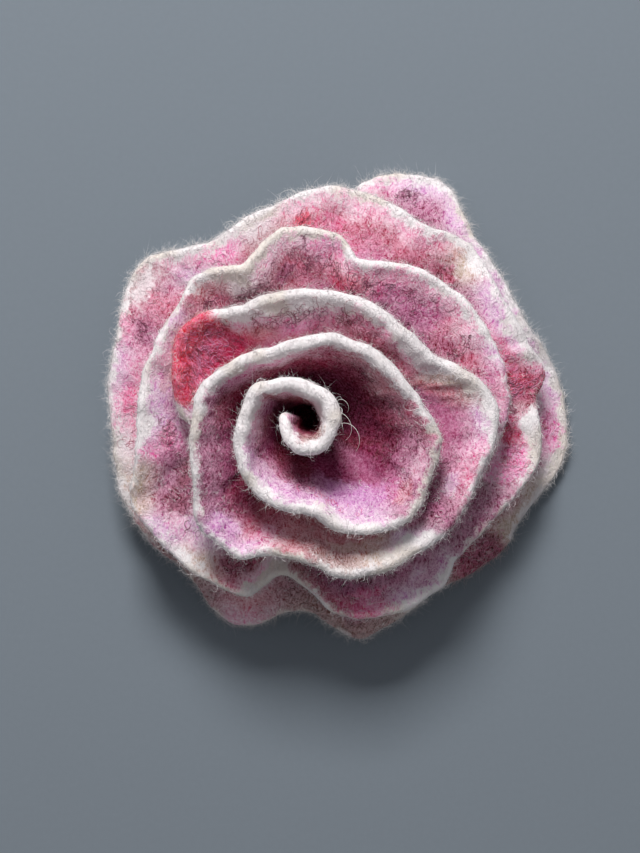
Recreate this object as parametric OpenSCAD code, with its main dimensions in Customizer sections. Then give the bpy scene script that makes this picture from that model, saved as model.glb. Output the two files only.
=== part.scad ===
// Flower brooch: a rose wound from two strips of felt, on a plain metal brooch back.
// It lies on its back. The origin is on the surface, under the middle of the outline.

/* [Felt] */
// Thickness of the felt
felt_t = 2.4; // [1.8:0.1:2.5]
// Radius of the wound root at the curl of the heart
root_r = 1.6; // [1.5:0.05:1.7]
// Distance between two turns of the wound root
root_pitch = 2.95; // [2.9:0.05:3.1]
// How much wider than measured all petals reach
petal_spread = 1; // [0.97:0.01:1.03]

/* [Place] */
// Where the axis of the winding stands, left or right of the middle
axis_x = -6.4; // [-8:0.1:8]
// Where the axis of the winding stands, above or below the middle
axis_y = -2.9; // [-8:0.1:8]

/* [Brooch back] */
// Length of the bar
bar_l = 32; // [28:1:36]
// Width of the bar
bar_w = 5; // [4.5:0.5:7]
// Thickness of the bar
bar_t = 0.8; // [0.6:0.1:1.2]
// Diameter of the sewing holes in the bar
hole_d = 1.6; // [1.2:0.1:2]
// Distance between neighbouring sewing holes
hole_step = 6; // [5:0.5:6.5]
// Length of each end lug along the bar
lug_l = 2; // [1.5:0.5:3]
// Width of each end lug across the bar
lug_w = 3.6; // [3:0.2:4.4]
// Diameter of the needle
needle_d = 1; // [0.8:0.1:1.4]
// Room for cloth between the needle and the bar
cloth_gap = 4.4; // [4.2:0.1:6]
// Gap between the bar and the felt above it
seat_gap = 0.3; // [0.2:0.05:0.5]

/* [Fineness] */
// Longest step along a rim
rim_step = 2.9; // [2.7:0.1:5]
// Facets round the needle and the holes
round_facets = 48; // [24:8:96]

/* [Hidden] */

// Height of the needle's middle, of the bar's underside and of the wound root's lower edge
needle_z = needle_d;
bar_z = needle_z + needle_d / 2 + cloth_gap;
root_z = bar_z + bar_t + seat_gap;

// Where the lugs and the bar's round ends are, along the bar from its middle
lug_x = (bar_l - bar_w) / 2;

// Turn angle at which the winding starts, where its root has the radius root_r
first_turn = 160;

// Columns of the rim tables
TURN = 0;
REACH = 1;
RISE = 2;

// Rim of the inner strip: a row at each crest and dip of a fold, and where a slope changes.
// turn: angle along the winding in degrees, counterclockwise from +X. reach: distance from
// the axis. rise: height above the surface. Both in millimetres, at the middle of the felt.
HEART_RIM = [
    [160, 3.7, 28.5],
    [178, 4.1, 30],
    [225, 5, 31],
    [272, 5.4, 31.5],
    [340, 4.8, 31.5],
    [432, 5, 31.5],
    [468, 6.6, 31.2],
    [495, 9.1, 31],
    [512, 11, 30.5],
    [531, 11.3, 30.5],
    [570, 13.9, 29.8],
    [600, 16, 29.3],
    [635, 17, 28.8],
    [651, 21.9, 27],
    [678, 26.1, 25.5],
    [697, 24.5, 26],
    [707, 24.5, 26.2],
    [722, 22.1, 27],
    [747, 18.3, 28.5],
    [777, 16.5, 29.2],
    [829, 14, 29.5],
    [849, 15.1, 29],
    [889, 20.3, 27],
    [915, 21.7, 26.3],
    [927, 22.8, 25.8],
    [944, 27.3, 24],
    [960, 28.4, 23.5],
    [978, 25.5, 24.5],
    [987, 25.7, 24.5],
    [1005, 30, 23],
    [1026, 31.4, 22.3],
    [1043, 33, 21.8],
    [1059, 33.3, 21.5],
    [1083, 35.2, 20.3],
    [1092, 33, 21.2],
    [1107, 25.8, 23.8],
    [1131, 23.7, 25],
    [1157, 23.8, 25.5],
    [1182, 23.4, 25.5],
    [1198, 23.7, 25],
    [1217, 27.3, 23],
    [1226, 28.3, 22.3],
    [1242, 26.1, 21.3],
    [1262, 22.3, 19.5],
];

// Rim of the outer strip, with the same columns
OUTER_RIM = [
    [1398, 30.7, 18],
    [1427, 34.9, 17.3],
    [1448, 38.2, 17],
    [1475, 37.2, 18.5],
    [1496, 34.5, 20],
    [1512, 31.1, 21],
    [1521, 35.3, 20],
    [1536, 36.3, 19.8],
    [1553, 31.2, 21],
    [1568, 34.3, 20],
    [1580, 32, 19.8],
    [1613, 31.7, 19],
    [1632, 32.9, 18.5],
    [1646, 36.7, 16],
    [1664, 36.1, 15.5],
    [1691, 35, 16],
    [1700, 29.1, 18.5],
    [1711, 32.3, 17.3],
    [1720, 37.7, 15.5],
    [1733, 39.9, 14.5],
    [1749, 40.8, 12.6],
    [1757, 38.4, 13.3],
    [1779, 41.8, 12],
    [1792, 45.2, 9.5],
    [1804, 44.2, 10],
    [1811, 47.2, 9.7],
    [1819, 44.6, 10.8],
    [1830, 43.9, 12],
    [1847, 45.8, 10.8],
    [1860, 43.4, 12.8],
    [1882, 44.9, 11.5],
    [1899, 41.5, 13.5],
    [1919, 38.5, 14.5],
    [1937, 43.6, 10.3],
    [1956, 40, 11.3],
    [1991, 37.5, 9.5],
    [2002, 38.7, 8],
    [2020, 38.6, 6.5],
    [2030, 37.3, 6],
    [2049, 42.3, 2.2],
    [2069, 36.8, 6],
    [2084, 43.6, 1.8],
    [2105, 41.5, 4.2],
    [2125, 45.2, 2.5],
    [2138, 46.5, 2.2],
    [2155, 50.9, 1.7],
    [2169, 49.8, 2.2],
    [2187, 46, 6.2],
    [2207, 48, 4.5],
    [2221, 53.3, 2],
    [2231, 50.9, 2.8],
    [2238, 47.2, 4],
];

// How the wall of either strip bends from the root to its rim, a row for each turn.
// stand: how far up the root stays upright. crown: the height it then bends towards.
// lean: how far out it does so, as a share of the way from the root to the rim.
STAND = 1;
CROWN = 2;
LEAN = 3;
BENDS = [
    [160, 13.5, 22.5, 0.25],
    [178, 15, 25, 0.25],
    [540, 13, 21.5, 0.38],
    [720, 11.5, 19.5, 0.41],
    [1080, 9.8, 17.6, 0.4],
    [1440, 7.5, 14.6, 0.38],
    [1800, 5.7, 12.7, 0.36],
    [2240, 2.2, 8, 0.3],
];

// Shares of the way from root to rim at which the wall has a point, and the angles at which
// the round edge of the rim has one
WALL_AT = [0, 0.22, 0.45, 0.67, 0.86, 1];
EDGE_AT = [60, 120];

// A table's column as a smooth curve over the turn, flat at each crest and dip
function chord(rows, column, i) =
    (rows[i + 1][column] - rows[i][column]) / (rows[i + 1][TURN] - rows[i][TURN]);
function slope(rows, column, i) =
    i == 0 ? chord(rows, column, 0) :
    i == len(rows) - 1 ? chord(rows, column, i - 1) :
    let (before = chord(rows, column, i - 1))
    let (after = chord(rows, column, i))
    let (p = rows[i][TURN] - rows[i - 1][TURN])
    let (q = rows[i + 1][TURN] - rows[i][TURN])
    before * after <= 0 ? 0 : 3 * (p + q) / ((2 * q + p) / before + (q + 2 * p) / after);
function row_before(rows, turn) =
    max([for (i = [0 : len(rows) - 2]) if (i == 0 || rows[i][TURN] <= turn) i]);
function curve(rows, column, turn) =
    let (i = row_before(rows, turn))
    let (span = rows[i + 1][TURN] - rows[i][TURN])
    let (s = (turn - rows[i][TURN]) / span)
    rows[i][column] * (1 + 2 * s) * pow(1 - s, 2)
    + slope(rows, column, i) * span * s * pow(1 - s, 2)
    + rows[i + 1][column] * s * s * (3 - 2 * s)
    + slope(rows, column, i + 1) * span * s * s * (s - 1);

// The turns at which a strip has a section, no further apart on its rim than rim_step
function rim_place(row) = row[REACH] * [cos(row[TURN]), sin(row[TURN])];
function section_turns(rows) = [
    for (i = [0 : len(rows) - 2])
        let (steps = ceil(norm(rim_place(rows[i + 1]) - rim_place(rows[i])) / rim_step))
        for (k = [0 : steps - 1])
            rows[i][TURN] + (rows[i + 1][TURN] - rows[i][TURN]) * k / steps,
    rows[len(rows) - 1][TURN],
];

// The middle of the felt at one turn, from root to rim: a cubic curve that starts upright
function wall_line(rows, turn) =
    let (root = root_r + root_pitch * (turn - first_turn) / 360)
    let (reach = curve(rows, REACH, turn) * petal_spread)
    let (rise = curve(rows, RISE, turn))
    let (stand = curve(BENDS, STAND, turn))
    let (crown = curve(BENDS, CROWN, turn))
    let (lean = curve(BENDS, LEAN, turn))
    [for (v = WALL_AT)
        let (r = root * pow(1 - v, 2) * (1 + 2 * v)
            + (root + lean * (reach - root)) * 3 * v * v * (1 - v) + reach * pow(v, 3))
        let (z = root_z * pow(1 - v, 3) + (root_z + stand) * 3 * v * pow(1 - v, 2)
            + crown * 3 * v * v * (1 - v) + rise * pow(v, 3))
        [r * cos(turn), r * sin(turn), z]];

function unit(vector) = vector / norm(vector);
function along(grid, i, j) = grid[min(i + 1, len(grid) - 1)][j] - grid[max(i - 1, 0)][j];
function upward(grid, i, j) = grid[i][min(j + 1, len(grid[i]) - 1)] - grid[i][max(j - 1, 0)];
// Square to the felt and away from the axis, and level at the root's lower edge
function outward(grid, i, j) =
    let (normal = cross(along(grid, i, j), upward(grid, i, j)))
    unit([normal.x, normal.y, j == 0 ? 0 : normal.z]);

// One closed section of the felt: up the outer face, round the rim and down the inner face
function section(grid, i) =
    let (top = len(grid[i]) - 1)
    let (out = outward(grid, i, top))
    let (up = unit(upward(grid, i, top)))
    [
        for (j = [0 : top]) grid[i][j] + outward(grid, i, j) * felt_t / 2,
        for (a = EDGE_AT) grid[i][top] + (out * cos(a) + up * sin(a)) * felt_t / 2,
        for (j = [top : -1 : 0]) grid[i][j] - outward(grid, i, j) * felt_t / 2,
    ];

// A felt strip, swept through the sections of its rim table
module strip(rows) {
    grid = [for (turn = section_turns(rows)) wall_line(rows, turn)];
    last = len(grid) - 1;
    sides = 2 * len(WALL_AT) + len(EDGE_AT);
    points = [for (i = [0 : last]) each section(grid, i)];
    walls = [
        for (i = [0 : last - 1])
            for (k = [0 : sides - 1])
                let (a = i * sides + k)
                let (b = i * sides + (k + 1) % sides)
                each [[a, b, b + sides], [a, b + sides, a + sides]],
    ];
    first_end = [for (k = [sides - 1 : -1 : 0]) k];
    last_end = [for (k = [0 : sides - 1]) last * sides + k];
    translate([axis_x, axis_y, 0])
        polyhedron(points = points, faces = concat(walls, [first_end, last_end]), convexity = 12);
}

// The inner felt strip: curl, heart and the petals round it
module heart_strip() {
    color("#c98fa6") strip(HEART_RIM);
}

// The outer felt strip, whose petals make the outline
module outer_strip() {
    color("#e3b3c5") strip(OUTER_RIM);
}

// The plate of the brooch back with its row of sewing holes
module bar_plate() {
    difference() {
        union() {
            translate([-lug_x, -bar_w / 2, bar_z]) cube([2 * lug_x, bar_w, bar_t]);
            for (side = [-1, 1])
                translate([side * lug_x, 0, bar_z])
                    cylinder(h = bar_t, d = bar_w, $fn = round_facets);
        }
        for (k = [-1 : 1])
            translate([k * hole_step, 0, bar_z - 1])
                cylinder(h = bar_t + 2, d = hole_d, $fn = round_facets);
    }
}

// The brooch back: plate, end lugs and needle in one plain piece
module bar_pin() {
    color("#b9babb")
        translate([axis_x, axis_y, 0]) {
            bar_plate();
            for (side = [-1, 1])
                translate([side * lug_x - lug_l / 2, -lug_w / 2, 0])
                    cube([lug_l, lug_w, bar_z + bar_t / 2]);
            translate([-lug_x, 0, needle_z])
                rotate([0, 90, 0]) cylinder(h = 2 * lug_x, d = needle_d, $fn = round_facets);
        }
}

heart_strip();
outer_strip();
bar_pin();
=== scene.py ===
"""Flower brooch of felted wool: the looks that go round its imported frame.

The two felt strips are shells worked out from the same rims and bends as the part's source, in
millimetres from the axis of the winding, and are put into their meshes in metres.
"""

from types import SimpleNamespace

import bpy
import numpy as np
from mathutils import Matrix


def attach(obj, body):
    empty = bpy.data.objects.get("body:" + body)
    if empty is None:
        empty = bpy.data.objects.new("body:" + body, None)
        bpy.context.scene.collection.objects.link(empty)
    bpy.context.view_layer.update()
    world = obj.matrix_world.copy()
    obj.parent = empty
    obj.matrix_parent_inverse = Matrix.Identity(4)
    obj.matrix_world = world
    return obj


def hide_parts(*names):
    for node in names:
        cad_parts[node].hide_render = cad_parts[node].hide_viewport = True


bl_info = {
    "name": "Flower brooch of felted wool",
    "version": (1, 0, 0),
    "blender": (4, 5, 0),
    "location": "3D View > Sidebar > Brooch",
    "description": "Felt strips, fibres, brooch back and stage of a flower brooch",
    "category": "Object",
}

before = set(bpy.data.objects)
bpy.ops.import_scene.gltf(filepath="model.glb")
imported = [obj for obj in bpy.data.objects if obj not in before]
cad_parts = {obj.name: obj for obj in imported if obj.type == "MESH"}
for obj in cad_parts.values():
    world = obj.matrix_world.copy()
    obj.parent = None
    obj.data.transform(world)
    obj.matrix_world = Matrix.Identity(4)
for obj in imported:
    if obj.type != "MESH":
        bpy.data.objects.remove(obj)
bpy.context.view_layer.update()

MM = 0.001
# Short fibres in each piece of fuzz
FUZZ_IN_A_PIECE = 15800
# Points of a shell's section from its root to its rim, on either face
POINTS_UP = 38
# Distance between the fine fibres drawn on the felt and their length, in millimetres
FIBRE_APART = 0.32
FIBRE_LONG = 2.2

# Where the axis of the winding stands, in millimetres
AXIS = np.array([-6.4, -2.9, 0.0])
# Radius of the wound root at its first turn, distance between its turns, and its lower edge
ROOT_R = 1.6
ROOT_PITCH = 2.95
ROOT_Z = 7.0
# Turn at which the rim of the innermost coil is thickest
COIL_SWELLS_AT = 388.0
# Turn from which the outer strip's edge is thinner
OUTER_FROM = 1398.0
# Turn of the thin tip of the dark red scrap
TIP_AT = 1811.0
# Way over the rounded rim, from its crown to the start of the inner face
ROUND_OF_RIM = 1.9
# First turn of the winding
FIRST_TURN = 160.0
# Turns between which the rim of the outer strip comes out as the outline, where fibres are denser
OUTLINE_TURNS = (1840, 1890)
# Least height of a loose fibre above the floor, in millimetres
ABOVE_FLOOR = 0.1
# Turns between which the curl at the heart gets more fuzz, from little to the full amount
CURL_TURNS = (260, 340)
# Wad in the hole of the wound root: how many locks, their least height and the hole's radius
WAD_LOCKS = 150
WAD_Z = 8.2
HOLE_R = 3.1
# Single hairs: radius and least height above the floor in millimetres, colour as linear values
HAIR_RADIUS = 0.042
HAIR_ABOVE_FLOOR = 0.15
HAIR_COLOUR = (0.80, 0.77, 0.74)
HAIR_SEED = 303
# Colours that fuzz and longer fibres pale towards, as linear values
FUZZ_ENDS = np.array([0.92, 0.9, 0.88])
STRAY_ENDS = np.array([0.9, 0.84, 0.87])

# The floor's side in millimetres, and places and sizes of the lamp and the camera, in metres but
# for the lens, which is in millimetres
FLOOR_SIDE = 1600.0
LAMP_AT = (-0.10, 0.65, 0.58)
LAMP_SIZE = (0.28, 0.26)
CAMERA_AT = (-0.0040, -0.0042, 0.45)
LENS = 94.96

# Holes of the plate along its length, and the way of a stitch from a hole round the plate's long
# edge into the felt: distance from the plate's middle and rise, all in millimetres
HOLES = (-6.0, 0.0, 6.0)
STITCH = [
    (0.25, 6.5),
    (0.3, 5.95),
    (0.6, 5.68),
    (1.3, 5.62),
    (2.1, 5.64),
    (2.6, 5.8),
    (2.82, 6.2),
    (2.84, 6.8),
    (2.75, 7.6),
]

# Rim of the inner strip: turn in degrees, reach from the axis and rise above the surface
HEART_RIM = [
    (160, 3.7, 28.5),
    (178, 4.1, 30),
    (225, 5, 31),
    (272, 5.4, 31.5),
    (340, 4.8, 31.5),
    (432, 5, 31.5),
    (468, 6.6, 31.2),
    (495, 9.1, 31),
    (512, 11, 30.5),
    (531, 11.3, 30.5),
    (570, 13.9, 29.8),
    (600, 16, 29.3),
    (635, 17, 28.8),
    (651, 21.9, 27),
    (678, 26.1, 25.5),
    (697, 24.5, 26),
    (707, 24.5, 26.2),
    (722, 22.1, 27),
    (747, 18.3, 28.5),
    (777, 16.5, 29.2),
    (829, 14, 29.5),
    (849, 15.1, 29),
    (889, 20.3, 27),
    (915, 21.7, 26.3),
    (927, 22.8, 25.8),
    (944, 27.3, 24),
    (960, 28.4, 23.5),
    (978, 25.5, 24.5),
    (987, 25.7, 24.5),
    (1005, 30, 23),
    (1026, 31.4, 22.3),
    (1043, 33, 21.8),
    (1059, 33.3, 21.5),
    (1083, 35.2, 20.3),
    (1092, 33, 21.2),
    (1107, 25.8, 23.8),
    (1131, 23.7, 25),
    (1157, 23.8, 25.5),
    (1182, 23.4, 25.5),
    (1198, 23.7, 25),
    (1217, 27.3, 23),
    (1226, 28.3, 22.3),
    (1242, 26.1, 21.3),
    (1262, 22.3, 19.5),
]

# Rim of the outer strip, with the same columns
OUTER_RIM = [
    (1398, 30.7, 18),
    (1427, 34.9, 17.3),
    (1448, 38.2, 17),
    (1475, 37.2, 18.5),
    (1496, 34.5, 20),
    (1512, 31.1, 21),
    (1521, 35.3, 20),
    (1536, 36.3, 19.8),
    (1553, 31.2, 21),
    (1568, 34.3, 20),
    (1580, 32, 19.8),
    (1613, 31.7, 19),
    (1632, 32.9, 18.5),
    (1646, 36.7, 16),
    (1664, 36.1, 15.5),
    (1691, 35, 16),
    (1700, 29.1, 18.5),
    (1711, 32.3, 17.3),
    (1720, 37.7, 15.5),
    (1733, 39.9, 14.5),
    (1749, 40.8, 12.6),
    (1757, 38.4, 13.3),
    (1779, 41.8, 12),
    (1792, 45.2, 9.5),
    (1804, 44.2, 10),
    (1811, 47.2, 9.7),
    (1819, 44.6, 10.8),
    (1830, 43.9, 12),
    (1847, 45.8, 10.8),
    (1860, 43.4, 12.8),
    (1882, 44.9, 11.5),
    (1899, 41.5, 13.5),
    (1919, 38.5, 14.5),
    (1937, 43.6, 10.3),
    (1956, 40, 11.3),
    (1991, 37.5, 9.5),
    (2002, 38.7, 8),
    (2020, 38.6, 6.5),
    (2030, 37.3, 6),
    (2049, 42.3, 2.2),
    (2069, 36.8, 6),
    (2084, 43.6, 1.8),
    (2105, 41.5, 4.2),
    (2125, 45.2, 2.5),
    (2138, 46.5, 2.2),
    (2155, 50.9, 1.7),
    (2169, 49.8, 2.2),
    (2187, 46, 6.2),
    (2207, 48, 4.5),
    (2221, 53.3, 2),
    (2231, 50.9, 2.8),
    (2238, 47.2, 4),
]

# How the wall bends from root to rim: turn, stand, crown and lean, as in the part's source
BENDS = [
    (160, 13.5, 22.5, 0.25),
    (178, 15, 25, 0.25),
    (540, 13, 21.5, 0.38),
    (720, 11.5, 19.5, 0.41),
    (1080, 9.8, 17.6, 0.4),
    (1440, 7.5, 14.6, 0.38),
    (1800, 5.7, 12.7, 0.36),
    (2240, 2.2, 8, 0.3),
]

# Dyed wool along the inner strip's upper face: turn, how far the cream of the rim comes down in
# millimetres, and the wool below it, 5.5 mm down and 10 mm down. The dark wools low on the
# face are partly the felt's dye and partly painted shade of the deep folds, and in some rows
# a longer cream reach or a paler wool is painted light where the fold lies in shade.
HEART_DYE_AND_SHADING = [
    (160, -0.9, "mauve", "maroon", "maroon"),
    (190, 0.2, "mauve", "wine", "maroon"),
    (215, 0.4, "mauve", "wine", "maroon"),
    (250, 0.2, "umber", "wine", "maroon"),
    (300, 0.2, "umber", "wine", "maroon"),
    (326, 1.4, "beige", "wine", "maroon"),
    (345, 7.0, "cream", "blush", "maroon"),
    (372, 9.0, "cream", "cream", "brick"),
    (408, 8.0, "cream", "cream", "brick"),
    (430, 5.5, "blush", "salmon", "maroon"),
    (452, 4.5, "cream", "salmon", "salmon"),
    (480, 2.0, "blush", "brick", "rose"),
    (504, 0.2, "brick", "maroon", "night"),
    (524, 1.6, "blush", "mauve", "night"),
    (545, 0.8, "blush", "brick", "night"),
    (575, -0.3, "lilac", "plum", "maroon"),
    (605, 0.3, "haze", "mauve", "maroon"),
    (628, 0.2, "lilac", "plum", "maroon"),
    (646, 1.0, "haze", "lilac", "plum"),
    (664, 0.6, "haze", "lilac", "plum"),
    (680, -0.6, "mauve", "orchid", "mauve"),
    (692, -1.0, "mauve", "plum", "maroon"),
    (706, -0.7, "mauve", "night", "night"),
    (722, 0.1, "rose", "maroon", "night"),
    (750, 0.8, "salmon", "maroon", "night"),
    (800, 0.5, "rose", "wine", "night"),
    (830, 1.1, "blush", "wine", "night"),
    (864, 0.6, "sugar", "wine", "maroon"),
    (890, 0.2, "mauve", "wine", "night"),
    (912, -0.7, "mauve", "plum", "night"),
    (935, -1.1, "mauve", "plum", "maroon"),
    (950, -0.9, "lilac", "plum", "maroon"),
    (966, -0.8, "haze", "rose", "brick"),
    (980, -0.7, "salmon", "salmon", "brick"),
    (998, -0.2, "umber", "salmon", "brick"),
    (1018, 1.2, "beige", "salmon", "brick"),
    (1030, 2.4, "haze", "wine", "plum"),
    (1044, -2.2, "plum", "plum", "rose"),
    (1062, -0.9, "pink", "mauve", "wine"),
    (1080, 1.4, "haze", "mauve", "mauve"),
    (1095, 1.8, "beige", "salmon", "mauve"),
    (1112, 2.6, "blush", "rose", "rose"),
    (1134, 0.7, "pink", "rose", "rose"),
    # From here to 1208 the cream reaches further down and the near wool is paler, as painted light
    # where this part of the ring lies in shade
    (1158, 1.8, "blush", "pink", "salmon"),
    (1178, 3.2, "blush", "sugar", "salmon"),
    (1198, 2.4, "blush", "salmon", "pink"),
    (1208, 1.2, "blush", "crimson", "rose"),
    (1214, -6.0, "red", "crimson", "crimson"),
    (1251, -6.0, "red", "crimson", "crimson"),
    (1256, 0.4, "haze", "sugar", "candy"),
]

# The same along the outer strip, with painted light and shade mixed into its rows in the same way
OUTER_DYE_AND_SHADING = [
    (1398, -1.8, "mauve", "brick", "maroon"),
    (1416, -1.8, "mauve", "brick", "rose"),
    (1436, -2.0, "orchid", "plum", "maroon"),
    (1450, -1.2, "pink", "orchid", "plum"),
    (1460, -1.5, "haze", "rose", "mauve"),
    (1470, 0.2, "blush", "rose", "plum"),
    (1484, -0.3, "blush", "orchid", "plum"),
    (1498, -0.5, "pink", "orchid", "plum"),
    (1512, -0.4, "blush", "crimson", "plum"),
    (1524, -0.2, "sugar", "rose", "orchid"),
    (1536, 0.4, "blush", "rose", "rose"),
    (1548, 0.9, "blush", "maroon", "wine"),
    (1557, 2.4, "cream", "maroon", "wine"),
    (1567, 0.1, "salmon", "rose", "rose"),
    (1575, -0.8, "rose", "maroon", "rose"),
    (1584, -0.9, "haze", "rose", "lilac"),
    (1596, 0.2, "blush", "haze", "sugar"),
    (1610, 0.6, "haze", "haze", "sugar"),
    (1620, 1.6, "haze", "haze", "sugar"),
    (1630, -0.8, "sugar", "sugar", "plum"),
    (1638, -1.4, "beige", "mauve", "maroon"),
    (1646, -1.6, "beige", "mauve", "maroon"),
    (1654, -1.0, "haze", "mauve", "plum"),
    (1662, 0.0, "haze", "haze", "mauve"),
    (1672, 0.8, "beige", "haze", "rose"),
    (1684, -1.2, "rose", "wine", "maroon"),
    (1693, 1.2, "blush", "wine", "maroon"),
    (1699, 1.8, "cream", "brick", "maroon"),
    (1705, -0.6, "brick", "maroon", "night"),
    (1716, -1.0, "rose", "plum", "maroon"),
    (1728, -1.4, "candy", "plum", "maroon"),
    (1740, 0.6, "haze", "mauve", "maroon"),
    (1750, 0.6, "haze", "mauve", "maroon"),
    (1762, -1.2, "mauve", "maroon", "maroon"),
    (1776, -1.4, "mauve", "plum", "maroon"),
    # The pale middle wool of this row is partly painted light, where the pink lobe lies in shade
    (1786, -0.4, "blush", "blush", "wine"),
    (1792, 1.4, "blush", "sugar", "wine"),
    (1799, 2.4, "blush", "crimson", "wine"),
    (1804, -1.8, "wine", "maroon", "maroon"),
    (1808.5, -4.0, "wine", "wine", "maroon"),
    (1811.5, -2.0, "pink", "wine", "maroon"),
    (1814.5, 0.6, "blush", "crimson", "wine"),
    (1824, 1.0, "haze", "candy", "rose"),
    (1834, -0.2, "haze", "mauve", "rose"),
    (1845, 1.2, "beige", "maroon", "maroon"),
    (1856, 0.2, "pink", "rose", "wine"),
    (1868, 0.2, "blush", "rose", "orchid"),
    (1882, 0.2, "blush", "rose", "candy"),
    (1892, -0.4, "blush", "crimson", "wine"),
    (1904, 0.4, "cream", "brick", "rose"),
    (1916, 0.4, "sugar", "pink", "rose"),
    (1930, 0.4, "blush", "haze", "pink"),
    (1942, 0.0, "umber", "rose", "rose"),
    (1952, -0.6, "pink", "mauve", "mauve"),
    (1964, -0.5, "haze", "pink", "candy"),
    (1976, -0.2, "blush", "candy", "candy"),
    (1988, 0.6, "cream", "pink", "pink"),
    (2000, 0.2, "beige", "pink", "mauve"),
    (2012, -1.0, "brick", "brick", "maroon"),
    (2034, -2.0, "umber", "maroon", "maroon"),
    (2050, -1.2, "blush", "salmon", "blush"),
    (2072, -1.0, "umber", "maroon", "maroon"),
    (2088, -0.8, "umber", "plum", "night"),
    (2108, -0.8, "umber", "wine", "maroon"),
    (2116, -6.0, "wine", "wine", "wine"),
    (2126, -6.0, "wine", "maroon", "maroon"),
    (2131, -0.4, "beige", "brick", "maroon"),
    (2141, 0.2, "beige", "mauve", "maroon"),
    (2149, 1.2, "cream", "mauve", "rose"),
    (2156, 0.0, "sugar", "orchid", "plum"),
    (2168, 0.6, "haze", "blush", "rose"),
    (2182, 0.6, "haze", "mauve", "plum"),
    (2196, 0.0, "lilac", "plum", "plum"),
    (2212, 0.2, "haze", "mauve", "maroon"),
    (2224, 0.8, "haze", "mauve", "plum"),
    (2238, 0.2, "blush", "rose", "rose"),
]

# Tufts of wool laid on the strips: turn, distance from the rim, half its length along the rim and
# half its width in millimetres, its wool and how thickly it lies
HEART_TUFTS = [
    (560, 7.5, 5, 3.5, "plum", 0.6),
    (596, 3.5, 6, 1.6, "haze", 0.5),
    (612, 8, 5, 2.5, "maroon", 0.7),
    (652, 8.6, 7, 2.4, "lilac", 0.6),
    (668, 6.5, 6, 3, "lilac", 0.55),
    (684, 2.4, 4, 1.6, "salmon", 0.6),
    (684, 11, 6, 4, "plum", 0.6),
    (700, 1.4, 4, 1.4, "blush", 0.6),
    (704, 5, 5, 2.2, "mauve", 0.5),
    (868, 8, 7, 3, "wine", 0.7),
    (952, 2.6, 3.6, 1.8, "lilac", 0.8),
    (950, 7.5, 6, 2.2, "maroon", 0.6),
    (970, 3.0, 4, 1.6, "pink", 0.7),
    (1012, 4.6, 9, 1.2, "beige", 0.5),
    (1036, 4.8, 3, 1.4, "orchid", 0.5),
    (1056, 3.2, 3, 1.6, "haze", 0.6),
    (1062, 8, 4, 2, "mauve", 0.6),
    (1120, 6, 7, 3, "wine", 0.5),
    (1228, 6.4, 9, 5.0, "crimson", 1.0),
]
OUTER_TUFTS = [
    (1452, 2.0, 3, 1.4, "orchid", 0.6),
    (1468, 6.5, 4, 2, "plum", 0.5),
    (1484, 6.5, 5, 2.6, "orchid", 0.6),
    (1498, 4.5, 5, 2, "sugar", 0.4),
    (1512, 7, 3.5, 3, "wine", 0.5),
    (1528, 6.5, 3, 2, "wine", 0.4),
    (1539, 7.0, 3, 2, "plum", 0.7),
    (1553, 7.0, 3, 1.6, "wine", 0.6),
    (1575, 5.6, 3.0, 2.4, "maroon", 0.8),
    (1586, 4.5, 3.5, 2.6, "pink", 0.4),
    (1604, 3.0, 3, 1.4, "brick", 0.5),
    (1614, 5.5, 3.5, 2, "orchid", 0.5),
    (1626, 4.8, 3.4, 1.8, "candy", 0.6),
    (1635, 6.0, 2.5, 3, "plum", 0.7),
    (1645, 1.2, 2.6, 1.5, "umber", 0.5),
    (1652, 6.5, 4.5, 3, "maroon", 0.8),
    (1660, 3.5, 5, 2.2, "blush", 0.45),
    (1683, 4.0, 4, 2.4, "maroon", 0.8),
    (1728, 3.6, 5, 1.2, "candy", 0.6),
    # The plum and maroon tufts next stand partly for painted shade below the rim that overhangs them
    (1722, 5.4, 6, 2.6, "plum", 0.9),
    (1725, 8.0, 7, 2.6, "maroon", 1.0),
    (1748, 2.0, 5, 1.4, "mauve", 0.5),
    # The sugar tuft next is partly painted light: a paler wool where the lobe lies in shade
    (1787, 4.2, 5.4, 4.4, "sugar", 1.0),
    (1788, 5.6, 3, 1.6, "wine", 0.6),
    (1796, 5.0, 2.8, 2.2, "crimson", 1.0),
    (1801, 5.0, 2.4, 1.6, "candy", 0.8),
    (1803.5, 4.2, 2.2, 1.4, "maroon", 1.0),
    (1809.5, 4.0, 3.0, 5.6, "crimson", 0.55),
    (1818, 5.0, 4.4, 2.6, "candy", 0.8),
    (1847, 6.2, 3.4, 2.2, "wine", 0.9),
    (1857, 8.0, 5.0, 3.0, "wine", 0.6),
    (1872, 7.5, 6, 2.6, "rose", 0.5),
    (1884, 5.5, 4, 2, "candy", 0.5),
    (1891.5, 4.6, 2.3, 2.2, "red", 1.0),
    (1891.5, 4.8, 1.5, 1.4, "wine", 0.6),
    (1941, 1.8, 4.5, 2.0, "cream", 0.8),
    (1952, 4.0, 3, 1.6, "plum", 0.5),
    (1974, 2.6, 3.4, 1.6, "candy", 0.8),
    (2013, 2.6, 2.2, 0.8, "maroon", 0.9),
    (2021, 2.4, 2.2, 1.0, "salmon", 0.9),
    (2027, 2.2, 1.5, 0.8, "maroon", 0.8),
    (2159, 3.6, 3.2, 1.8, "orchid", 0.7),
    (2226, 3.6, 3.0, 1.4, "plum", 0.8),
]

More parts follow.
